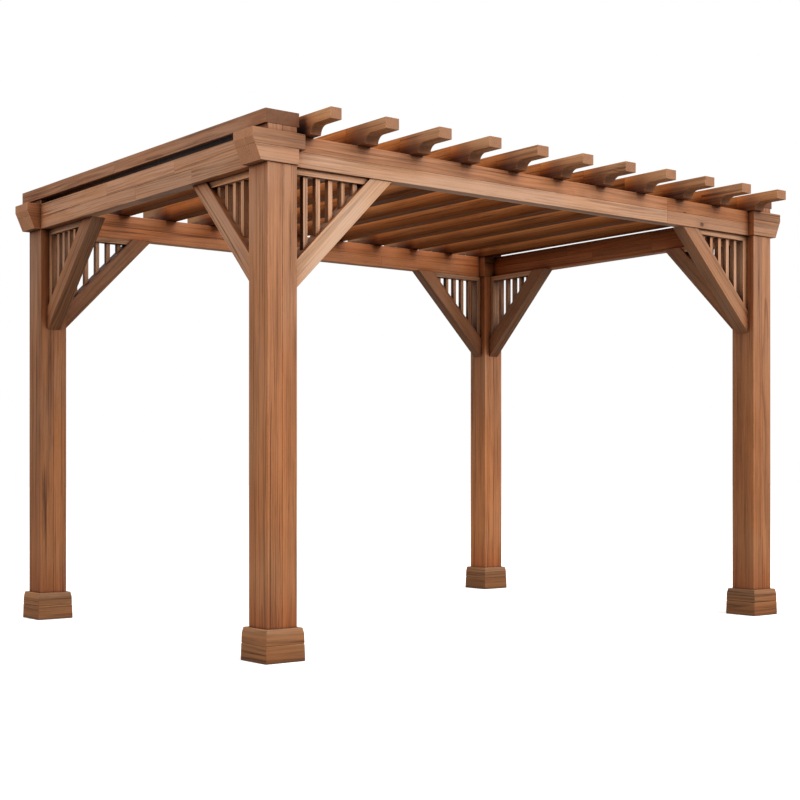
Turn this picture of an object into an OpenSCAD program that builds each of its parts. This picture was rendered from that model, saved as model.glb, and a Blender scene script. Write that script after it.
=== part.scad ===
// Open timber pergola: four posts on plinth collars, a ring of beams with shaped corner
// blocks, slatted corner braces, two cap rails and eleven rafters with coved ends.
// Origin on the ground at the centre of the plan, +X along the front, +Y to the back, +Z up.

/* [Overall] */
// Length along the front, over the outer faces of the posts
frame_len = 3240; // [2700:10:4200]
// Depth from front to back, over the outer faces of the posts
frame_dep = 2320; // [1950:10:3200]
// Height of the post tops above the ground
post_h = 2200; // [1900:5:2700]

/* [Posts] */
// Side of a square post
post_w = 144; // [116:1:176]
// Height that the posts rise above the beams
post_rise = 25; // [10:1:60]
// Side of the square neck that passes through a corner block
neck_w = 60; // [40:1:90]

/* [Plinths] */
// Height of a plinth collar
plinth_h = 139; // [100:1:220]
// Width of a collar at its upper edge
plinth_top_w = 178; // [150:1:240]
// Width of a collar below its bevel
plinth_mid_w = 188; // [160:1:250]
// Width of a collar on the ground
plinth_base_w = 194; // [165:1:260]
// Height of the bevel round the upper edge
plinth_bevel_h = 26; // [10:1:60]

/* [Beams] */
// Height of every beam
beam_h = 130; // [90:1:180]
// Thickness of every beam
beam_t = 64; // [38:1:76]
// Setback of the front and back beams from the outer faces of the posts
long_setback = 30; // [0:1:60]
// Setback of the side beams from the outer faces of the posts
side_setback = 0; // [0:1:60]

/* [Corner blocks] */
// Reach of a block past the post, at its upper edge
block_reach = 76; // [50:1:120]
// Reach of a block past the post, at its lower edge
block_foot = 36; // [10:1:48]
// Height of the upright part of the block's end
block_nose_h = 38; // [20:1:80]
// How far a block stands proud of the post's outer face
block_proud = 7; // [0:1:20]
// How far a block runs past the post's inner side
block_lap = 6; // [0:1:30]
// How much further the front left block's upper board runs over the face of the beam
block_step = 31; // [0:1:40]

/* [Cap rails] */
// Width of the left cap rail
cap_w = 166; // [141:1:200]
// Width of the right cap rail, which leaves room for the last rafter beside it
right_cap_w = 97; // [80:1:130]
// Height of a cap rail
cap_h = 60; // [38:1:90]
// Reach of a cap rail past the back posts
cap_back = 66; // [0:1:140]

/* [Rafters] */
// Number of rafters
rafter_count = 11; // [5:1:12]
// Height of a rafter
rafter_h = 88; // [60:1:140]
// Thickness of a rafter
rafter_t = 70; // [38:1:80]
// Thickness of the first rafter
rafter_first_t = 54; // [38:1:70]
// Clear space between the left cap rail and the first rafter
rafter_first_gap = 39; // [2:1:90]
// Clear space between the last rafter and the right cap rail
rafter_last_gap = 4; // [1:1:90]
// Reach of a rafter past the outer face of the posts
rafter_reach = 170; // [150:1:300]
// Height of the square nose at a rafter's end
rafter_nose_h = 48; // [30:1:60]
// Length of the square nose, under which the cove begins
rafter_nose_l = 106; // [20:1:120]

/* [Corner braces] */
// Length of each leg of a brace, along the beam and down the post
brace_leg = 524; // [400:1:640]
// Width of the diagonal, across its grain
brace_w = 83; // [50:1:100]
// Thickness of the diagonal
brace_t = 72; // [40:1:100]
// Height of the rail under the beam and width of the rail on the post
rail_w = 28; // [15:1:40]
// Thickness of the rails
rail_t = 50; // [30:1:60]
// Number of slats between the post rail and the diagonal
slat_count = 5; // [3:1:5]
// Width of a slat
slat_w = 22; // [12:1:30]
// Clear space along the top rail between the last slat and the diagonal
slat_end = 58; // [30:1:90]
// Thickness of a slat
slat_t = 26; // [16:1:44]

/* [Hidden] */
beam_top = post_h - post_rise;
beam_bottom = beam_top - beam_h;
half_len = frame_len / 2;
half_dep = frame_dep / 2;
post_x = half_len - post_w / 2;
post_y = half_dep - post_w / 2;
brace_run = brace_w * sqrt(2);
brace_inner = brace_leg - brace_run;
slat_gap = (brace_inner - rail_w - slat_end) / slat_count - slat_w;
cap_over = (cap_w - post_w) / 2;
cap_outer_x = half_len + cap_over;
right_head_w = right_cap_w - cap_over;
rafter_first_x = -cap_outer_x + cap_w + rafter_first_gap + rafter_first_t / 2;
rafter_last_x = cap_outer_x - right_cap_w - rafter_last_gap - rafter_t / 2;
rafter_pitch = (rafter_last_x - rafter_first_x) / (rafter_count - 1);
rafter_half = half_dep + rafter_reach;
cove_r = rafter_h - rafter_nose_h;
long_beam_l = frame_len - 2 * (post_w + block_lap);
side_beam_l = frame_dep - 2 * post_w;
long_beam_y = half_dep - long_setback - beam_t / 2;
side_beam_x = half_len - side_setback - beam_t / 2;

// A corner is given by its side along X and along Y: -1 is left or front, 1 is right or back
module at_corner(side_x, side_y) {
    translate([side_x * post_x, side_y * post_y, 0])
        mirror([side_x > 0 ? 1 : 0, 0, 0])
            mirror([0, side_y > 0 ? 1 : 0, 0])
                children();
}

module centred_box(width, depth, height) {
    translate([-width / 2, -depth / 2, 0])
        cube([width, depth, height]);
}

// One post: a square shaft, a neck inside the corner block, and a head as wide as the rail needs
module post(side_x, side_y) {
    head_w = side_x > 0 ? right_head_w : post_w;
    color("sienna")
        at_corner(side_x, side_y)
            union() {
                centred_box(post_w, post_w, beam_bottom);
                translate([0, 0, beam_bottom])
                    centred_box(neck_w, neck_w, beam_h);
                translate([(head_w - post_w) / 2, 0, beam_top])
                    centred_box(head_w, post_w, post_rise);
            }
}

module plinth_profile() {
    polygon([
        [-plinth_base_w / 2, 0],
        [plinth_base_w / 2, 0],
        [plinth_mid_w / 2, plinth_h - plinth_bevel_h],
        [plinth_top_w / 2, plinth_h],
        [-plinth_top_w / 2, plinth_h],
        [-plinth_mid_w / 2, plinth_h - plinth_bevel_h]
    ]);
}

module plinth_bar() {
    rotate([90, 0, 0])
        translate([0, 0, -plinth_base_w / 2])
            linear_extrude(plinth_base_w)
                plinth_profile();
}

// One collar round the foot of a post, with battered sides and a bevelled upper edge
module plinth(side_x, side_y) {
    color("peru")
        at_corner(side_x, side_y)
            difference() {
                intersection() {
                    plinth_bar();
                    rotate([0, 0, 90])
                        plinth_bar();
                }
                translate([0, 0, -1])
                    centred_box(post_w, post_w, plinth_h + 2);
            }
}

// Side view of a corner block in post coordinates, with its shaped end towards -X
module block_profile() {
    half_post = post_w / 2;
    polygon([
        [-half_post - block_foot, 0],
        [half_post + block_lap, 0],
        [half_post + block_lap, beam_h],
        [-half_post - block_reach, beam_h],
        [-half_post - block_reach, beam_h - block_nose_h]
    ]);
}

// The longer end of a block's upper board, in front of the beam
module block_tongue() {
    tongue_t = block_proud + long_setback;
    translate([post_w / 2, -post_w / 2 - block_proud, beam_h / 2])
        cube([block_lap + block_step, tongue_t, beam_h / 2]);
}

// One corner block on the post's shoulder, round its neck
module corner_block(side_x, side_y) {
    color("sienna")
        at_corner(side_x, side_y)
            translate([0, 0, beam_bottom])
                difference() {
                    union() {
                        translate([0, post_w / 2, 0])
                            rotate([90, 0, 0])
                                linear_extrude(post_w + block_proud)
                                    block_profile();
                        if (side_x < 0 && side_y < 0 && block_step > 0) block_tongue();
                    }
                    translate([0, 0, -1])
                        centred_box(neck_w, neck_w, beam_h + 2);
                }
}

module long_beam(side_y) {
    color("peru")
        translate([0, side_y * long_beam_y, beam_bottom])
            centred_box(long_beam_l, beam_t, beam_h);
}

module side_beam(side_x) {
    color("sienna")
        translate([side_x * side_beam_x, 0, beam_bottom])
            centred_box(beam_t, side_beam_l, beam_h);
}

// One rail over two posts, level with the rafters and flush with the front posts
module cap_rail(side_x) {
    width = side_x > 0 ? right_cap_w : cap_w;
    color("sienna")
        translate([side_x * (cap_outer_x - width / 2), cap_back / 2, post_h])
            centred_box(width, frame_dep + cap_back, cap_h);
}

// Side view of a rafter's front half: square nose, cove and a flat seat on the beam
module rafter_profile() {
    difference() {
        polygon([
            [0, 0],
            [rafter_half - rafter_nose_l, 0],
            [rafter_half - rafter_nose_l, cove_r],
            [rafter_half, cove_r],
            [rafter_half, rafter_h],
            [0, rafter_h]
        ]);
        translate([rafter_half - rafter_nose_l, 0])
            circle(r = cove_r, $fn = 96);
    }
}

module rafter(number) {
    thickness = number == 1 ? rafter_first_t : rafter_t;
    centre_x = rafter_first_x + (number - 1) * rafter_pitch;
    color("peru")
        translate([centre_x, 0, beam_top])
            for (side = [0, 1])
                mirror([0, side, 0])
                    rotate([90, 0, 0])
                        rotate([0, 90, 0])
                            translate([0, 0, -thickness / 2])
                                linear_extrude(thickness)
                                    rafter_profile();
}

// A brace is drawn in its own plane: u runs along the beam from the post, v down from the beam
module brace_outline() {
    polygon([
        [brace_inner, 0],
        [brace_leg, 0],
        [0, brace_leg],
        [0, brace_inner]
    ]);
}

module inner_triangle() {
    polygon([
        [0, 0],
        [brace_inner, 0],
        [0, brace_inner]
    ]);
}

module slab(thickness) {
    translate([0, 0, -thickness / 2])
        linear_extrude(thickness)
            children();
}

module rails_and_slats() {
    slab(rail_t)
        intersection() {
            inner_triangle();
            union() {
                square([brace_leg, rail_w]);
                square([rail_w, brace_leg]);
            }
        }
    slab(slat_t)
        intersection() {
            inner_triangle();
            for (i = [1 : slat_count])
                translate([rail_w + i * slat_gap + (i - 1) * slat_w, rail_w / 2])
                    square([slat_w, brace_leg]);
        }
}

// Puts a flat piece, drawn in u and v, at a corner: along the long beam or along the side beam
module in_brace_plane(side_x, side_y, along_x) {
    at_corner(side_x, side_y)
        translate([0, 0, beam_bottom])
            rotate([0, 0, along_x ? 0 : 90])
                mirror([0, along_x ? 0 : 1, 0])
                    translate([post_w / 2, 0, 0])
                        rotate([-90, 0, 0])
                            children();
}

module brace(side_x, side_y, along_x) {
    color("tan")
        in_brace_plane(side_x, side_y, along_x)
            slab(brace_t)
                brace_outline();
}

module slat_panel(side_x, side_y, along_x) {
    color("rosybrown")
        in_brace_plane(side_x, side_y, along_x)
            rails_and_slats();
}

CORNERS = [
    ["front_left", -1, -1],
    ["front_right", 1, -1],
    ["back_left", -1, 1],
    ["back_right", 1, 1]
];
DIRECTIONS = [["long", true], ["side", false]];
RAFTERS = [for (i = [1 : rafter_count]) str("rafter_", i < 10 ? "0" : "", i)];

for (c = CORNERS) {
    post(c[1], c[2]);
    plinth(c[1], c[2]);
    corner_block(c[1], c[2]);
    for (d = DIRECTIONS) {
        brace(c[1], c[2], d[1]);
        slat_panel(c[1], c[2], d[1]);
    }
}
long_beam(-1);  // front_beam
long_beam(1);  // back_beam
side_beam(-1);  // left_beam
side_beam(1);  // right_beam
cap_rail(-1);  // left_cap_rail
cap_rail(1);  // right_cap_rail
for (i = [1 : rafter_count])
    rafter(i);
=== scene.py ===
"""Looks of the timber pergola: every timber is built again from separate boards, with eased arrises,
open seams and end joints, and a stained softwood that runs through the boards as a solid texture."""

import math
import random

import bmesh
import bpy
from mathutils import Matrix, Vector


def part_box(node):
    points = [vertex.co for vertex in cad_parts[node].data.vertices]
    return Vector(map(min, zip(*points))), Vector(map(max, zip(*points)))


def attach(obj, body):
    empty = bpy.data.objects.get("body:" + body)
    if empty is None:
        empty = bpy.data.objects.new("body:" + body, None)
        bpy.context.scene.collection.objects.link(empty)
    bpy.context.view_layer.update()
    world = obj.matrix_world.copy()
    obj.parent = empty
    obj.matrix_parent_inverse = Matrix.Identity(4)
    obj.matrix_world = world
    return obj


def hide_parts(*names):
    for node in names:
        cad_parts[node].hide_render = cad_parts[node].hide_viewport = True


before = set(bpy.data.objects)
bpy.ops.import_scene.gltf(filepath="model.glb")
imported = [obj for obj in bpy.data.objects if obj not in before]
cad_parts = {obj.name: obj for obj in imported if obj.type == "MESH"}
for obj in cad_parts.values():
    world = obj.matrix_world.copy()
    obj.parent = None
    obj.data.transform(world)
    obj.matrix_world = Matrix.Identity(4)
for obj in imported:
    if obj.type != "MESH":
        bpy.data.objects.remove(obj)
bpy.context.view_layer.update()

# Boards, in metres. An arris is an eased edge, on slats and plinths of its own size
ARRIS = 0.0015
SMALL_ARRIS = 0.0011
WIDE_ARRIS = 0.0026
ARRIS_STEPS = 2
SHARP_ANGLE = math.radians(28)

# How far a board's sides may sit back, and the least lengths between the end joints
MAX_LIP = 0.0004
LEAST_LENGTH = 0.45
LEAST_CAP_LENGTH = 0.9

# A face whose normal leans towards the grain by more than this cosine is end grain
END_CUT_SLANT = 0.6
COVE_STEPS = 14

# Where a board was sawn from the log: how far from the pith, and how far along
PITH = (0.03, 0.13)
LOG_LENGTH = 40

# Tolerances in metres: for places read from the frame, for welding a board's points, for a point on
# a cutting line, for two points of an outline, and, as an area, for three points in a line
NEAR = 0.0004
WELD = 1e-6
ON_LINE = 1e-7
SAME_POINT = 1e-5
IN_LINE = 1e-9
OUTLINE_DIGITS = 5

# How one step of tone or of warmth changes a board's colour, and how far the tones vary by chance
TONE_STEP = 0.22
WARMTH_STEPS = (0.05, -0.06, -0.18)
TONE_SPREAD = 0.5

LIP_SEED = 5
GRAIN_SEED = 11
JOINT_SEED = 23

CORNERS = {"front_left": (-1, -1), "front_right": (1, -1), "back_left": (-1, 1), "back_right": (1, 1)}
X, Y, Z = Vector((1, 0, 0)), Vector((0, 1, 0)), Vector((0, 0, 1))

lips = random.Random(LIP_SEED)
grains = random.Random(GRAIN_SEED)
joints = random.Random(JOINT_SEED)


# ---------------------------------------------------------------- shapes read from the frame

def vertices(node):
    return [v.co.copy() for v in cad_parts[node].data.vertices]


def distinct(values):
    """The values in order, without those that repeat another."""
    found = []
    for value in sorted(values):
        if not found or value - found[-1] > NEAR:
            found.append(value)
    return found


def convex_outline(points):
    """Corners of the convex outline of 2-D points, anticlockwise."""
    ordered = sorted({(round(a, OUTLINE_DIGITS), round(b, OUTLINE_DIGITS)) for a, b in points})

    def half(run):
        chain = []
        for p in run:
            while len(chain) > 1 and turn(chain[-2], chain[-1], p) <= IN_LINE:
                chain.pop()
            chain.append(p)
        return chain[:-1]

    return half(ordered) + half(ordered[::-1])


def turn(o, a, b):
    """Twice the area of a triangle, above nought where its corners run anticlockwise."""
    return (a[0] - o[0]) * (b[1] - o[1]) - (a[1] - o[1]) * (b[0] - o[0])


def clip(outline, axis, low, high):
    """The part of a convex outline that lies between two values along one of its axes."""
    for limit, sign in ((low, 1), (high, -1)):
        kept = []
        for i, p in enumerate(outline):
            q = outline[(i + 1) % len(outline)]
            p_in = sign * (p[axis] - limit) >= -ON_LINE
            q_in = sign * (q[axis] - limit) >= -ON_LINE
            if p_in:
                kept.append(p)
            if p_in != q_in:
                t = (limit - p[axis]) / (q[axis] - p[axis])
                kept.append((p[0] + t * (q[0] - p[0]), p[1] + t * (q[1] - p[1])))
        outline = [p for i, p in enumerate(kept) if math.dist(p, kept[i - 1]) > SAME_POINT]
    return outline


# ---------------------------------------------------------------- boards

class Timber:
    """One piece: boards gathered into a single mesh, with the wood's own coordinates on every point."""

    def __init__(self, name, slot, replaced):
        self.name, self.slot, self.replaced = name, slot, replaced
        self.points, self.faces, self.grain, self.tint = [], [], [], []
        self.edge, self.end_cut = [], []

    def add(self, rings, along, arris=ARRIS, tone=0.0, warmth=0.0):
        """A board through a row of outlines with as many corners each, with its grain along a direction."""
        bm = bmesh.new()
        loops = [[bm.verts.new(p) for p in ring] for ring in rings]
        bm.faces.new(loops[0])
        bm.faces.new(loops[-1][::-1])
        for a, b in zip(loops, loops[1:]):
            for i in range(len(a)):
                bm.faces.new((a[i], b[i], b[i - 1], a[i - 1]))
        bmesh.ops.remove_doubles(bm, verts=bm.verts, dist=WELD)
        bmesh.ops.recalc_face_normals(bm, faces=bm.faces)
        kept = {f for f in bm.faces}
        sharp = [e for e in bm.edges if e.calc_face_angle(0) > SHARP_ANGLE]
        made = bmesh.ops.bevel(bm, geom=sharp, offset=arris, segments=ARRIS_STEPS, profile=0.5,
                               affect="EDGES", clamp_overlap=True)
        eased = {f for f in made["faces"]} - kept
        colour = tint(tone + grains.uniform(-TONE_SPREAD, TONE_SPREAD), warmth)
        self._store(bm, eased, along.normalized(), colour)
        bm.free()

    def _store(self, bm, eased, along, colour):
        """Keeps a board's mesh, with each point's place in the log that the board was sawn from."""
        centre = sum((v.co for v in bm.verts), Vector()) / len(bm.verts)
        side = along.orthogonal().normalized()
        up = along.cross(side)
        pith = grains.uniform(*PITH)
        angle = grains.uniform(0, 2 * math.pi)
        shift = Vector((grains.uniform(0, LOG_LENGTH), pith * math.cos(angle), pith * math.sin(angle)))
        first = len(self.points)
        bm.verts.index_update()
        for v in bm.verts:
            d = v.co - centre
            self.points.append(tuple(v.co))
            self.grain.append((d.dot(along) + shift.x, d.dot(side) + shift.y, d.dot(up) + shift.z))
            self.tint.append(colour)
        for f in bm.faces:
            self.faces.append([v.index + first for v in f.verts])
            self.edge.append(1.0 if f in eased else 0.0)
            self.end_cut.append(1.0 if abs(f.normal.dot(along)) > END_CUT_SLANT else 0.0)

    def box(self, low, high, along, **look):
        """A straight board between two corners. Its sides sit back by a fraction of a millimetre."""
        back = lips.uniform(0, MAX_LIP)
        inset = Vector([0 if abs(along[i]) > 0.5 else back for i in range(3)])
        lo, hi = Vector(low) + inset, Vector(high) - inset
        corners = ((lo.x, lo.y), (hi.x, lo.y), (hi.x, hi.y), (lo.x, hi.y))
        self.add([[(x, y, z) for x, y in corners] for z in (lo.z, hi.z)], along, **look)

    def finish(self):
        """Makes the piece, which stands in for the CAD node."""
        mesh = bpy.data.meshes.new(self.name)
        mesh.from_pydata(self.points, [], self.faces)
        values = (
            ("grain", "FLOAT_VECTOR", "POINT", self.grain),
            ("tint", "FLOAT_VECTOR", "POINT", self.tint),
            ("edge", "FLOAT", "FACE", self.edge),
            ("end_cut", "FLOAT", "FACE", self.end_cut),
        )
        for name, kind, domain, data in values:
            layer = mesh.attributes.new(name, kind, domain)
            if kind == "FLOAT_VECTOR":
                layer.data.foreach_set("vector", [c for v in data for c in v])
            else:
                layer.data.foreach_set("value", data)
        mesh.validate()
        piece = bpy.data.objects.new(self.name, mesh)
        bpy.context.scene.collection.objects.link(piece)
        mesh.materials.append(WOODS[self.slot])
        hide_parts(*self.replaced)
        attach(piece, "root")


def tint(tone, warmth):
    """The colour that multiplies one board's own: tone makes it lighter, warmth more orange."""
    light = 1.0 + TONE_STEP * tone
    return tuple(light * (1.0 + warmth * step) for step in WARMTH_STEPS)


def cut_points(low, high, lengths, least=LEAST_LENGTH):
    """Where the end joints of a long board fall: random, but no length shorter than the least."""
    room = (high - low) - lengths * least
    shares = [joints.random() for _ in range(lengths)]
    total = sum(shares)
    places = [low]
    for share in shares:
        places.append(places[-1] + least + room * share / total)
    places[-1] = high
    return places


# ---------------------------------------------------------------- materials

class Graph:
    """Short calls for the shader nodes of one material."""

    def __init__(self, material):
        material.use_nodes = True
        self.tree = material.node_tree
        self.tree.nodes.clear()

    def node(self, kind, **settings):
        made = self.tree.nodes.new(kind)
        for key, value in settings.items():
            setattr(made, key, value)
        return made

    def put(self, socket, value):
        if isinstance(value, bpy.types.NodeSocket):
            self.tree.links.new(value, socket)
        else:
            socket.default_value = value

    def math(self, operation, a, b=0.0, clamp=False):
        made = self.node("ShaderNodeMath", operation=operation, use_clamp=clamp)
        self.put(made.inputs[0], a)
        self.put(made.inputs[1], b)
        return made.outputs[0]

    def vector(self, operation, a, b=(0, 0, 0)):
        made = self.node("ShaderNodeVectorMath", operation=operation)
        self.put(made.inputs[0], a)
        self.put(made.inputs[1], b)
        return made.outputs["Value" if operation == "LENGTH" else "Vector"]

    def attribute(self, name, output="Fac"):
        return self.node("ShaderNodeAttribute", attribute_name=name).outputs[output]

    def noise(self, place, along, across, detail, roughness, output="Fac"):
        made = self.node("ShaderNodeTexNoise")
        self.put(made.inputs["Vector"], self.vector("MULTIPLY", place, (along, across, across)))
        made.inputs["Scale"].default_value = 1.0
        made.inputs["Detail"].default_value = detail
        made.inputs["Roughness"].default_value = roughness
        return made.outputs[output]

    def remap(self, value, low, high, to_low=0.0, to_high=1.0):
        made = self.node("ShaderNodeMapRange", interpolation_type="SMOOTHSTEP")
        self.put(made.inputs["Value"], value)
        made.inputs["From Min"].default_value = low
        made.inputs["From Max"].default_value = high
        made.inputs["To Min"].default_value = to_low
        made.inputs["To Max"].default_value = to_high
        return made.outputs[0]

    def mix(self, factor, a, b, blend="MIX"):
        made = self.node("ShaderNodeMix", data_type="RGBA", blend_type=blend)
        self.put(made.inputs["Factor"], factor)
        self.put(made.inputs["A"], a)
        self.put(made.inputs["B"], b)
        return made.outputs["Result"]

    def stain_or_painted_light(self, colour, stain_or_painted_light, factor=1.0):
        """The colour multiplied by another colour, such as a real tint, wear, or painted light and shade,
        as far as the factor says.
        """
        multiplied = self.mix(1.0, colour, stain_or_painted_light, "MULTIPLY")
        return multiplied if factor == 1.0 else self.mix(factor, colour, multiplied)


def four(colour):
    return (*colour, 1.0)


# Growth rings: their width, how far they wander and how a knot bends them, in metres
RING = 0.0100
RING_WANDER = 0.05
KNOT_BEND = 0.012

# The parts of a ring in which its late wood comes and goes, and how deep it is by its noise
LATE_WOOD = (0.30, 0.85)
LATE_WOOD_ENDS = (1.0, 0.92)
RING_DEPTH = (0.35, 0.72, 0.15, 1.0)

# Knots: cells per metre along and across the grain, the share of cells that have one, and how far
# the bent grain and the knot itself reach in a cell
KNOT_CELL = (4.0, 5.2, 5.2)
KNOT_SHARE = 0.12
KNOT_REACH = (0.34, 0.05)
KNOT_CORE = (0.080, 0.045)
KNOT_COVER = 0.8
KNOT_SHADE = 0.35

# Noise of each mark: stretch along and across the grain, detail and roughness
NOISES = {
    "wobble": (0.9, 7.0, 2.0, 0.55),
    "depth": (0.8, 16.0, 2.0, 0.55),
    "streaks": (1.1, 70.0, 5.0, 0.7),
    "flecks": (5.0, 170.0, 3.0, 0.6),
    "checks": (0.9, 75.0, 1.0, 0.55),
    "bands": (0.6, 26.0, 3.0, 0.55),
    "patches": (2.6, 12.0, 4.0, 0.6),
    "fibres": (2.4, 140.0, 4.0, 0.8),
    "hue": (1.3, 5.0, 2.0, 0.55),
    "wear": (9.0, 30.0, 2.0, 0.55),
}

# Marks that show only above a value of their noise, and the value at which they are full
SHOWS = {
    "streaks": (0.52, 0.70),
    "flecks": (0.58, 0.72),
    "checks": (0.655, 0.70),
    "hue": (0.36, 0.64),
    "wear": (0.38, 0.60),
}

# How the marks darken the wood: the value that leaves it as it is, and the weight
DARKENING = {
    "late": (0.0, 0.42),
    "flecks": (0.0, 0.30),
    "checks": (0.0, 0.45),
    "bands": (0.47, 1.3),
    "fibres": (0.48, 1.35),
    "near_knot": (0.0, 0.25),
}
PATCH_MIDDLE = 0.46

# Hues that the wood varies between, and heights between which a post's foot turns to its own colour
PINKER = (0.98, 1.03, 1.12)
ORANGER = (1.03, 0.96, 0.86)
FOOT_RISE = (0.9, 2.2)

# End grain: its shade, how far it covers a sawn end, and the weight of its rings and flecks
CUT_SHADE = 0.6
CUT_COVER = 0.85
CUT_MARK = 0.4

# Worn arrises; painted shade in the crevices; and a deeper, more saturated painted shade in sheltered
# places, both by open sky
WORN = (1.30, 1.26, 1.22)
CREVICE_SHADE = (0.09, 0.045, 0.02)
CREVICE_SKY = (0.80, 0.38)
SHELTER = 0.40
SHELTER_SHADE = (0.73, 0.44, 0.19)
SHELTER_SKY = (0.96, 0.58)
AO_SAMPLES = 4

# Relief of rings, fibres and flecks, its strength and depth in metres, and the sheen
RING_RELIEF = 0.5
FIBRE_RELIEF = 0.9
FLECK_RELIEF = 0.6
BUMP_STRENGTH = 0.35
BUMP_DEPTH = 0.0009
ROUGHNESS = (0.25, 0.75, 0.48, 0.66)
GLOSS = 0.28
INSIDE_GLOSS = 0.06


def span(origin, start, end):
    return origin + start, origin + end


# Painted light and shade on the rafters, by distance from the middle of the beams and height above or below
# their own
# faces: a painted highlight along the tops of the outer ends, between the beams painted shade below and
# painted light above, a milder painted light on the upper faces, and painted shade at the seats
BEAM_REACH = sum(v.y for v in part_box("back_beam")) / 2
RAFTER_LOW, RAFTER_HIGH = (v.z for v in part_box("rafter_01"))
TIP_REACH = span(BEAM_REACH, 0.002, 0.152)
TIP_RISE = span(RAFTER_LOW, 0.010, 0.065)
TIP_HIGHLIGHT = (1.55, 1.85, 2.05)
INSIDE_REACH = span(BEAM_REACH, 0.062, -0.038)
INSIDE_RISE = span(RAFTER_LOW, 0.003, 0.075)
INSIDE_SHADE = (0.60, 0.44, 0.23)
INSIDE_LIGHT = (1.75, 1.55, 1.20)
TOP_RISE = span(RAFTER_HIGH, -0.0030, -0.0005)
TOP_LIGHT = (1.20, 1.28, 1.26)
SEAT_OUTER = span(BEAM_REACH, 0.132, 0.052)
SEAT_INNER = span(BEAM_REACH, -0.108, -0.048)
SEAT_RISE = span(RAFTER_LOW, 0.085, 0.015)
SEAT_SHADE = (0.56, 0.43, 0.28)


def knots(g, place):
    """How near a point is to a knot, and where the knot itself sits."""
    cells = g.node("ShaderNodeTexVoronoi", feature="F1")
    g.put(cells.inputs["Vector"], g.vector("MULTIPLY", place, KNOT_CELL))
    cells.inputs["Scale"].default_value = 1.0
    lottery = g.node("ShaderNodeSeparateColor")
    g.put(lottery.inputs[0], cells.outputs["Color"])
    chosen = g.math("LESS_THAN", lottery.outputs[0], KNOT_SHARE)
    near = g.math("MULTIPLY", g.remap(cells.outputs["Distance"], *KNOT_REACH), chosen)
    core = g.math("MULTIPLY", g.remap(cells.outputs["Distance"], *KNOT_CORE), chosen)
    return near, core


def growth_rings(g, place, near_knot):
    """The dark late wood of the yearly rings round the pith, which bend round the knots."""
    wobble = g.noise(place, *NOISES["wobble"], output="Color")
    wobble = g.vector("SUBTRACT", wobble, (0.5, 0.5, 0.5))
    bent = g.vector("ADD", place, g.vector("MULTIPLY", wobble, (0.0, RING_WANDER, RING_WANDER)))
    radius = g.vector("LENGTH", g.vector("MULTIPLY", bent, (0.0, 1.0, 1.0)))
    radius = g.math("ADD", radius, g.math("MULTIPLY", near_knot, KNOT_BEND))
    ring = g.math("FRACT", g.math("DIVIDE", radius, RING))
    late = g.math("MULTIPLY", g.remap(ring, *LATE_WOOD), g.remap(ring, *LATE_WOOD_ENDS))
    return g.math("MULTIPLY", late, g.remap(g.noise(place, *NOISES["depth"]), *RING_DEPTH))


def wood_marks(g, place):
    """Every mark's strength at a point of the wood."""
    marks = {kind: g.noise(place, *NOISES[kind]) for kind in ("bands", "patches", "fibres")}
    for kind, (start, full) in SHOWS.items():
        marks[kind] = g.remap(g.noise(place, *NOISES[kind]), start, full)
    marks["near_knot"], marks["knot"] = knots(g, place)
    marks["late"] = growth_rings(g, place, marks["near_knot"])
    return marks


def darkness(g, marks, streak, patch):
    """How far the marks turn the wood from its pale colour to its deep one."""
    total = 0.0
    weights = {**DARKENING, "streaks": (0.0, streak), "patches": (PATCH_MIDDLE, patch)}
    for kind, (middle, weight) in weights.items():
        above = g.math("SUBTRACT", marks[kind], middle)
        total = g.math("ADD", total, g.math("MULTIPLY", above, weight))
    return g.math("ADD", total, 0.0, clamp=True)


def stained_wood(g, marks, body, deep, streak, patch):
    """Sound wood: its hue wanders, the marks darken it and each board has its own tint."""
    pinker = g.stain_or_painted_light(body, four(PINKER))
    oranger = g.stain_or_painted_light(body, four(ORANGER))
    colour = g.mix(darkness(g, marks, streak, patch), g.mix(marks["hue"], pinker, oranger), four(deep))
    colour = g.stain_or_painted_light(colour, g.attribute("tint", "Vector"))
    knot_colour = four([KNOT_SHADE * c for c in deep])
    return g.mix(g.math("MULTIPLY", marks["knot"], KNOT_COVER), colour, knot_colour)


def end_grain(g, colour, marks, end_cut, light, deep):
    """Sawn ends, with rings and flecks on a colour of their own."""
    rings = g.math("MULTIPLY", marks["late"], CUT_MARK)
    rings = g.math("ADD", rings, g.math("MULTIPLY", marks["flecks"], CUT_MARK), clamp=True)
    cut_colour = g.mix(rings, four(light), four(deep))
    return g.mix(g.math("MULTIPLY", end_cut, CUT_COVER), colour, cut_colour)


def inside(g, where):
    """One between the beams, nought past them."""
    return g.remap(g.math("ABSOLUTE", where.outputs[1]), *INSIDE_REACH)


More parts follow.
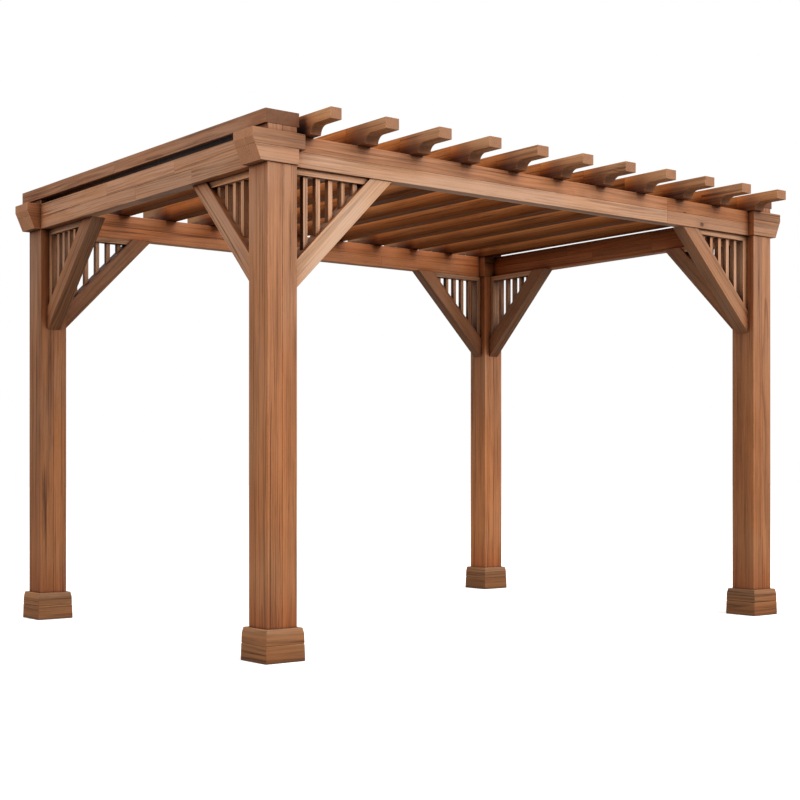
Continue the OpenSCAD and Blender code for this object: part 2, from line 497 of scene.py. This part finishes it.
def roof_light_and_shade(g, colour, where, end_cut):
    """Rafters: a painted highlight along the tops of their outer ends, painted shade at the seats, and
    between the beams painted shade below and painted light towards their upper faces."""
    outward = g.math("ABSOLUTE", where.outputs[1])
    height = where.outputs[2]
    tip = g.math("MULTIPLY", g.remap(outward, *TIP_REACH), g.remap(height, *TIP_RISE))
    tip = g.math("MULTIPLY", tip, g.math("SUBTRACT", 1.0, end_cut))
    colour = g.stain_or_painted_light(colour, four(TIP_HIGHLIGHT), tip)
    stain_or_painted_light = g.mix(g.remap(height, *INSIDE_RISE), four(INSIDE_SHADE), four(INSIDE_LIGHT))
    stain_or_painted_light = g.mix(g.remap(height, *TOP_RISE), stain_or_painted_light, four(TOP_LIGHT))
    colour = g.stain_or_painted_light(colour, stain_or_painted_light, inside(g, where))
    seat = g.math("MULTIPLY", g.remap(outward, *SEAT_OUTER), g.remap(outward, *SEAT_INNER))
    seat = g.math("MULTIPLY", seat, g.remap(height, *SEAT_RISE))
    return g.stain_or_painted_light(colour, four(SEAT_SHADE), seat)


def occlusion(g, distance):
    made = g.node("ShaderNodeAmbientOcclusion", samples=AO_SAMPLES)
    made.inputs["Distance"].default_value = distance
    return made.outputs["AO"]


def worn_and_shaded(g, colour, marks, crevice, shelter):
    """Worn arrises, painted shade in the crevices and a deeper painted shade in sheltered places."""
    colour = g.stain_or_painted_light(colour, four(WORN), g.math("MULTIPLY", g.attribute("edge"), marks["wear"]))
    colour = g.stain_or_painted_light(colour, four(CREVICE_SHADE), g.remap(occlusion(g, crevice), *CREVICE_SKY))
    sheltered = g.remap(occlusion(g, SHELTER), *SHELTER_SKY, 0.0, shelter)
    return g.stain_or_painted_light(colour, four(SHELTER_SHADE), sheltered)


def surface(g, colour, marks, gloss):
    """The colour on a fibrous surface with a soft sheen."""
    rings = g.math("MULTIPLY", marks["late"], RING_RELIEF)
    relief = g.math("ADD", rings, g.math("MULTIPLY", marks["fibres"], FIBRE_RELIEF))
    relief = g.math("SUBTRACT", relief, g.math("MULTIPLY", marks["flecks"], FLECK_RELIEF))
    bump = g.node("ShaderNodeBump")
    bump.inputs["Strength"].default_value = BUMP_STRENGTH
    bump.inputs["Distance"].default_value = BUMP_DEPTH
    g.put(bump.inputs["Height"], relief)
    shader = g.node("ShaderNodeBsdfPrincipled")
    g.put(shader.inputs["Base Color"], colour)
    g.put(shader.inputs["Roughness"], g.remap(marks["fibres"], *ROUGHNESS))
    g.put(shader.inputs["Specular IOR Level"], gloss)
    g.put(shader.inputs["Normal"], bump.outputs["Normal"])
    output = g.node("ShaderNodeOutputMaterial")
    g.put(output.inputs["Surface"], shader.outputs[0])


def wood(name, pale, deep, foot=None, cut=None, streak=0.5, patch=0.8, shelter=1.0, crevice=0.045,
         roof=False):
    """A stained softwood. Growth rings, fibres, dark streaks and knots follow the board's length."""
    material = bpy.data.materials.new(name)
    g = Graph(material)
    marks = wood_marks(g, g.attribute("grain", "Vector"))
    end_cut = g.attribute("end_cut")
    where = g.node("ShaderNodeSeparateXYZ")
    g.put(where.inputs[0], g.node("ShaderNodeNewGeometry").outputs["Position"])
    body = four(pale)
    if foot:
        body = g.mix(g.remap(where.outputs[2], *FOOT_RISE), four(foot), body)
    colour = stained_wood(g, marks, body, deep, streak, patch)
    colour = end_grain(g, colour, marks, end_cut, cut or [CUT_SHADE * c for c in pale], deep)
    gloss = GLOSS
    if roof:
        colour = roof_light_and_shade(g, colour, where, end_cut)
        gloss = g.math("SUBTRACT", GLOSS, g.math("MULTIPLY", inside(g, where), GLOSS - INSIDE_GLOSS))
    surface(g, worn_and_shaded(g, colour, marks, crevice, shelter), marks, gloss)
    return material


# Each timber's pale and deep colour, a post's colour at its foot, and the colour of sawn ends
WOODS = {
    "post_timber": wood("post_wood", (0.325, 0.160, 0.085), (0.085, 0.028, 0.009),
                        foot=(0.33, 0.133, 0.050)),
    "plinth_timber": wood("plinth_wood", (0.32, 0.175, 0.088), (0.085, 0.036, 0.014), patch=0.6),
    "block_timber": wood("block_wood", (0.345, 0.177, 0.098), (0.10, 0.040, 0.015),
                         cut=(0.385, 0.168, 0.078)),
    "beam_timber": wood("beam_wood", (0.375, 0.190, 0.102), (0.12, 0.045, 0.016),
                        streak=0.35, patch=0.6, crevice=0.06),
    "brace_timber": wood("brace_wood", (0.34, 0.168, 0.088), (0.10, 0.040, 0.016), streak=0.6),
    "slat_timber": wood("slat_wood", (0.58, 0.33, 0.195), (0.12, 0.046, 0.018),
                        shelter=0.7, crevice=0.10),
    "cap_timber": wood("cap_wood", (0.34, 0.161, 0.082), (0.10, 0.037, 0.015),
                       cut=(0.105, 0.030, 0.003)),
    "rafter_timber": wood("rafter_wood", (0.31, 0.140, 0.062), (0.085, 0.029, 0.010),
                          cut=(0.285, 0.126, 0.058), crevice=0.065, roof=True),
}


# ---------------------------------------------------------------- the pergola's pieces

# A look is a tone and a warmth
POST_WARMTH = 0.3
POST_TONES = {"front_left": 0.5, "front_right": 0.4, "back_left": -0.2, "back_right": 1.7}


def build_post(corner):
    """Two boards side by side, in a shaft below the corner block and a head above it."""
    low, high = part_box(f"{corner}_post")
    block_low, block_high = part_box(f"{corner}_corner_block")
    timber = Timber(f"{corner}_post_boards", "post_timber", [f"{corner}_post"])
    head = [v.x for v in vertices(f"{corner}_post") if high.z - v.z < NEAR]
    shaft_part = (low.z, block_low.z, low.x, high.x)
    head_part = (block_high.z, high.z, min(head), max(head))
    look = {"tone": POST_TONES[corner], "warmth": POST_WARMTH}
    for bottom, top, left, right in (shaft_part, head_part):
        middle = (left + right) / 2
        timber.box((left, low.y, bottom), (middle, high.y, top), Z, **look)
        timber.box((middle, low.y, bottom), (right, high.y, top), Z, **look)
    timber.finish()


# The height of the seam in a plinth, as a share of the plinth's own
PLINTH_SEAM = 0.52


def build_plinth(corner):
    """Four mitred sides in two courses round the post's foot."""
    node = f"{corner}_plinth"
    low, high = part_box(node)
    post_low, post_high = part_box(f"{corner}_post")
    centre = (low + high) / 2
    inner = (post_high.x - post_low.x) / 2
    levels = plinth_levels(vertices(node), centre.x)
    seam = high.z * PLINTH_SEAM
    foot = Vector((centre.x, centre.y, 0))
    timber = Timber(f"{node}_boards", "plinth_timber", [node])
    for turned in range(4):
        out = Vector((math.cos(turned * math.pi / 2), math.sin(turned * math.pi / 2), 0))
        along = Z.cross(out)
        for bottom, top in ((low.z, seam), (seam, high.z)):
            heights = [bottom] + [z for z, _ in levels if bottom < z < top] + [top]
            face = [(half_width(levels, z), z) for z in heights]
            profile = [(inner, bottom)] + face + [(inner, top)]
            rings = [[foot + out * n + along * (end * n) + Z * z for n, z in profile] for end in (-1, 1)]
            timber.add(rings, along, arris=WIDE_ARRIS)
    timber.finish()


def plinth_levels(points, middle):
    """Heights at which a plinth's face bends, each with the plinth's half width there."""
    heights = distinct([v.z for v in points])
    return [(z, max(v.x for v in points if abs(v.z - z) < NEAR) - middle) for z in heights]


def half_width(levels, z):
    for (z0, w0), (z1, w1) in zip(levels, levels[1:]):
        if z0 <= z <= z1:
            return w0 + (w1 - w0) * (z - z0) / (z1 - z0)
    return levels[-1][1]


# A block's outer layer, in metres, and its looks
BLOCK_LAYER = 0.060
PALE_BLOCK = "front_left"
PALE_BLOCK_TONE = 0.4
UPPER_BLOCK_WARMTH = 0.5


def build_block(corner):
    """Two layers of two boards, with the upright and slanted end cut across all four."""
    node = f"{corner}_corner_block"
    low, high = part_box(node)
    points = vertices(node)
    inward = -CORNERS[corner][0]
    plain_end = inward * max(inward * v.x for v in points if v.z - low.z < NEAR)
    far_end = inward * max(inward * v.x for v in points)
    tongue = [v.y for v in points if abs(v.x - far_end) < NEAR and abs(v.x - plain_end) > NEAR]
    outline = convex_outline([(v.x, v.z) for v in points if inward * (v.x - plain_end) < NEAR])
    timber = Timber(f"{node}_boards", "block_timber", [node])
    seam_z = (low.z + high.z) / 2
    outer_y, inner_y = (low.y, high.y) if corner.startswith("front") else (high.y, low.y)
    seam_y = outer_y + math.copysign(BLOCK_LAYER, inner_y - outer_y)
    lower = (low.z, seam_z, PALE_BLOCK_TONE if corner == PALE_BLOCK else 0.0, 0.0)
    upper = (seam_z, high.z, 0.0, UPPER_BLOCK_WARMTH)
    for bottom, top, tone, warmth in (lower, upper):
        shape = clip(outline, 1, bottom, top)
        for layer in ((outer_y, seam_y), (seam_y, inner_y)):
            rings = [[(x, y, z) for x, z in shape] for y in layer]
            if tongue and layer[0] == outer_y and top == high.z:
                longer = [(far_end if abs(x - plain_end) < NEAR else x, z) for x, z in shape]
                rings = [[(x, y, z) for x, z in longer] for y in (min(tongue), max(tongue))]
                rings += [[(x, y, z) for x, z in shape] for y in (max(tongue), seam_y)]
            timber.add(rings, X, tone=tone, warmth=warmth)
    timber.finish()


BEAM_LENGTHS = 3


def build_beam(node, along, courses, share=None, last=(0.0, 0.0)):
    """Two courses of boards, each joined end to end. A course and the last length's change hold a tone
    and a warmth; the lower course comes first. A share puts one joint at that part of the length."""
    low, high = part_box(node)
    axis = 0 if along is X else 1
    timber = Timber(f"{node}_boards", "beam_timber", [node])
    seam = (low.z + high.z) / 2
    for bottom, top, (tone, warmth) in zip((low.z, seam), (seam, high.z), courses):
        places = cut_points(low[axis], high[axis], BEAM_LENGTHS)
        if share:
            places = [low[axis], low[axis] + (high[axis] - low[axis]) * share, high[axis]]
        lo, hi = Vector((low.x, low.y, bottom)), Vector((high.x, high.y, top))
        looks = [(tone, warmth)] * (len(places) - 2) + [(tone + last[0], warmth + last[1])]
        add_lengths(timber, lo, hi, axis, places, looks)
    timber.finish()


def add_lengths(timber, low, high, axis, places, looks):
    """Boards end to end along an axis, with a tone and a warmth for each."""
    for start, end, (tone, warmth) in zip(places, places[1:], looks):
        lo, hi = low.copy(), high.copy()
        lo[axis], hi[axis] = start, end
        timber.box(lo, hi, (X, Y)[axis], tone=tone, warmth=warmth)


CAP_LENGTHS = 2
CAP_LOOK = (0.0, 0.2)


def build_cap(node):
    low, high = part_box(node)
    timber = Timber(f"{node}_boards", "cap_timber", [node])
    places = cut_points(low.y, high.y, CAP_LENGTHS, LEAST_CAP_LENGTH)
    add_lengths(timber, low, high, 1, places, [CAP_LOOK] * CAP_LENGTHS)
    timber.finish()


def build_rafter(node, joint_ys):
    """Three boards, joined close inside both beams, with a square nose and a cove at each end."""
    low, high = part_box(node)
    points = vertices(node)
    nose_bottom = min(v.z for v in points if high.y - v.y < NEAR)
    cove_end = max(v.y for v in points if v.z - low.z < NEAR)
    radius = nose_bottom - low.z
    turns = [i * math.pi / 2 / COVE_STEPS for i in range(COVE_STEPS + 1)]
    arc = [(cove_end + radius * (1 - math.cos(t)), low.z + radius * math.sin(t)) for t in turns]
    end = arc + [(high.y, nose_bottom), (high.y, high.z)]
    timber = Timber(f"{node}_boards", "rafter_timber", [node])
    near, far = joint_ys
    back = [(far, low.z)] + end + [(far, high.z)]
    front = [(-y, z) for y, z in [(-near, low.z)] + end + [(-near, high.z)]]
    middle = [(near, low.z), (far, low.z), (far, high.z), (near, high.z)]
    for shape in (front, middle, back):
        timber.add([[(x, y, z) for y, z in shape] for x in (low.x, high.x)], Y)
    timber.finish()


class Gusset:
    """The plane of one corner brace: u runs from the post along the beam, v down from the beam."""

    def __init__(self, corner, direction):
        side_x, side_y = CORNERS[corner]
        low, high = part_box(f"{corner}_post")
        self.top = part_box(f"{corner}_corner_block")[0].z
        centre = (low + high) / 2
        along_x = direction == "long"
        self.u = (X * -side_x) if along_x else (Y * -side_y)
        self.c = Y if along_x else X
        self.start = Vector((centre.x, centre.y, self.top)) + self.u * (high.x - low.x) / 2

    def flat(self, point):
        """A point's u, v and distance in front of the plane."""
        d = point - self.start
        return d.dot(self.u), -d.z, d.dot(self.c)

    def place(self, u, v, c):
        return self.start + self.u * u - Z * v + self.c * c

    def board(self, timber, shape, half, along, **look):
        """A board with an outline in u and v, that reaches half its thickness each way."""
        rings = [[self.place(u, v, c) for u, v in shape] for c in (-half, half)]
        timber.add(rings, along, **look)


# The front-left braces are lighter than the rest: painted light, for the light that falls on them
BRACE_LOOKS = {"front_left_long": (3.6, -1.9), "front_left_side": (0.9, 0.0)}
FRONT_BRACE_LOOK = (-0.3, 0.3)
BACK_BRACE_LOOK = (-1.0, 0.9)
BACK_SLAT_TONE = -0.9


def build_brace(corner, direction):
    node = f"{corner}_{direction}_brace"
    plane = Gusset(corner, direction)
    flat = [plane.flat(v) for v in vertices(node)]
    timber = Timber(f"{node}_board", "brace_timber", [node])
    outline = convex_outline([(u, v) for u, v, _ in flat])
    usual = FRONT_BRACE_LOOK if corner.startswith("front") else BACK_BRACE_LOOK
    tone, warmth = BRACE_LOOKS.get(f"{corner}_{direction}", usual)
    plane.board(timber, outline, max(c for _, _, c in flat), plane.u + Z, tone=tone, warmth=warmth)
    timber.finish()


def build_slats(corner, direction):
    """A rail under the beam, a rail on the post and upright slats, all cut to the brace."""
    node = f"{corner}_{direction}_slats"
    plane = Gusset(corner, direction)
    flat = [plane.flat(v) for v in vertices(node)]
    slat_half, rail_half = distinct([c for _, _, c in flat if c > 0])
    reach = max(u for u, _, _ in flat)
    on_slats = [(u, v) for u, v, c in flat if abs(abs(c) - slat_half) < NEAR]
    rail_w = min(v for _, v in on_slats)
    edges = distinct([u for u, v in on_slats if v - rail_w < NEAR])
    edges = [u for u in edges if u > rail_w + NEAR]
    look = {"arris": SMALL_ARRIS, "tone": BACK_SLAT_TONE if corner.startswith("back") else 0.0}
    timber = Timber(f"{node}_boards", "slat_timber", [node])
    beam_rail = [(0, 0), (reach, 0), (reach - rail_w, rail_w), (0, rail_w)]
    plane.board(timber, beam_rail, rail_half, plane.u, **look)
    post_rail = [(0, rail_w), (rail_w, rail_w), (rail_w, reach - rail_w), (0, reach)]
    plane.board(timber, post_rail, rail_half, Z, **look)
    for start, end in zip(edges[::2], edges[1::2]):
        shape = [(start, rail_w), (end, rail_w), (end, reach - end), (start, reach - start)]
        plane.board(timber, shape, slat_half, Z, **look)
    timber.finish()


# Tone and warmth of each beam's lower and upper course
# The front beam's upper course is darker and warmer than its lower one: painted shade, for the shadow of
# the rafters' ends
FRONT_COURSES = ((1.8, -1.1), (1.0, 0.9))
# The strong warmth of the back and right beams is painted shade: the saturated orange-brown of the shade
# under the roof
BACK_COURSES = ((0.8, 1.8), (0.4, 2.1))
LEFT_COURSES = ((0.4, 0.2), (0.8, 0.2))
RIGHT_COURSES = ((0.6, 2.3), (0.2, 2.3))
FRONT_JOINT = 0.78
FRONT_LAST = (-1.4, 1.3)

# How far inside the beams a rafter's joints lie
RAFTER_JOINT = (0.004, 0.03)


def build_pergola():
    for corner in CORNERS:
        build_post(corner)
        build_plinth(corner)
        build_block(corner)
        for direction in ("long", "side"):
            build_brace(corner, direction)
            build_slats(corner, direction)
    build_beam("front_beam", X, FRONT_COURSES, share=FRONT_JOINT, last=FRONT_LAST)
    build_beam("back_beam", X, BACK_COURSES)
    build_beam("left_beam", Y, LEFT_COURSES)
    build_beam("right_beam", Y, RIGHT_COURSES)
    build_cap("left_cap_rail")
    build_cap("right_cap_rail")
    front_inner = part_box("front_beam")[1].y
    back_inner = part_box("back_beam")[0].y
    for node in sorted(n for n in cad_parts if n.startswith("rafter_")):
        offset = joints.uniform(*RAFTER_JOINT)
        build_rafter(node, (front_inner + offset, back_inner - offset))


# ---------------------------------------------------------------- floor, lights, camera

FLOOR_SIZE = 90.0
FLOOR_GLOW = 0.42
FLOOR_COLOUR = 0.80
FLOOR_BOUNCE = 0.26


def build_floor():
    """A pale floor that the camera sees as almost white, and that reflects a little on the timber."""
    mesh = bpy.data.meshes.new("floor")
    half = FLOOR_SIZE / 2
    corners = [(-half, -half, 0), (half, -half, 0), (half, half, 0), (-half, half, 0)]
    mesh.from_pydata(corners, [], [(0, 1, 2, 3)])
    floor = bpy.data.objects.new("floor", mesh)
    bpy.context.scene.collection.objects.link(floor)
    material = bpy.data.materials.new("pale_floor")
    g = Graph(material)
    seen = g.node("ShaderNodeBsdfDiffuse")
    seen.inputs["Color"].default_value = four([FLOOR_COLOUR] * 3)
    glow = g.node("ShaderNodeEmission")
    glow.inputs["Strength"].default_value = FLOOR_GLOW
    both = g.node("ShaderNodeAddShader")
    g.put(both.inputs[0], seen.outputs[0])
    g.put(both.inputs[1], glow.outputs[0])
    bounce = g.node("ShaderNodeBsdfDiffuse")
    bounce.inputs["Color"].default_value = four([FLOOR_BOUNCE] * 3)
    rays = g.node("ShaderNodeLightPath")
    choose = g.node("ShaderNodeMixShader")
    g.put(choose.inputs[0], rays.outputs["Is Camera Ray"])
    g.put(choose.inputs[1], bounce.outputs[0])
    g.put(choose.inputs[2], both.outputs[0])
    output = g.node("ShaderNodeOutputMaterial")
    g.put(output.inputs["Surface"], choose.outputs[0])
    mesh.materials.append(material)


SKY_TOP = 0.95
SKY_LOW = 0.36
SKY_RISE = (0.0, 0.9)


def build_sky():
    """White to the camera. As light it is brighter overhead than at the horizon."""
    world = bpy.data.worlds.new("studio")
    bpy.context.scene.world = world
    g = Graph(world)
    direction = g.node("ShaderNodeTexCoord").outputs["Generated"]
    parts = g.node("ShaderNodeSeparateXYZ")
    g.put(parts.inputs[0], direction)
    level = g.remap(parts.outputs[2], *SKY_RISE, SKY_LOW, SKY_TOP)
    light = g.node("ShaderNodeBackground")
    g.put(light.inputs["Strength"], level)
    white = g.node("ShaderNodeBackground")
    rays = g.node("ShaderNodeLightPath")
    for lamp in (light, white):
        lamp.inputs["Color"].default_value = (1, 1, 1, 1)
    choose = g.node("ShaderNodeMixShader")
    g.put(choose.inputs[0], rays.outputs["Is Camera Ray"])
    g.put(choose.inputs[1], light.outputs[0])
    g.put(choose.inputs[2], white.outputs[0])
    output = g.node("ShaderNodeOutputWorld")
    g.put(output.inputs["Surface"], choose.outputs[0])


LIGHT_AIM = Vector((0, 0, 1.2))


def add_area(name, place, size, power, colour):
    """A soft lamp that looks at the pergola, with its size in metres and its power in watts."""
    data = bpy.data.lights.new(name, "AREA")
    data.color = colour
    data.shape = "RECTANGLE"
    data.size, data.size_y = size
    data.energy = power
    lamp = bpy.data.objects.new(name, data)
    lamp.location = place
    lamp.rotation_mode = "QUATERNION"
    lamp.rotation_quaternion = (LIGHT_AIM - Vector(place)).to_track_quat("-Z", "Y")
    bpy.context.scene.collection.objects.link(lamp)


def add_lights():
    add_area("front_light", (5.0, -12.5, 9.5), (18.0, 11.0), 3000, (1.0, 0.96, 0.90))
    add_area("left_light", (-12.0, -3.0, 4.6), (6.0, 4.0), 640, (1.0, 1.0, 1.0))


# Place and sight in metres, turn and tilt in degrees, lens and sensor in millimetres, and the picture's
# shift upwards as a share of its width
CAMERA_PLACE = (-4.86, -6.163, 0.804)
CAMERA_YAW = 38.1
CAMERA_PITCH = 0.07
CAMERA_LENS = 65.76
CAMERA_RISE = 0.0802
CAMERA_SENSOR = 36.0
CAMERA_SIGHT = 200


def add_camera():
    data = bpy.data.cameras.new("camera")
    data.lens = CAMERA_LENS
    data.sensor_width = CAMERA_SENSOR
    data.shift_y = CAMERA_RISE
    data.clip_end = CAMERA_SIGHT
    camera = bpy.data.objects.new("camera", data)
    camera.location = CAMERA_PLACE
    camera.rotation_euler = (math.radians(90 + CAMERA_PITCH), 0, math.radians(-CAMERA_YAW))
    bpy.context.scene.collection.objects.link(camera)
    bpy.context.scene.camera = camera


build_pergola()
build_floor()
build_sky()
add_lights()
add_camera()
bpy.context.scene.view_settings.view_transform = "Standard"
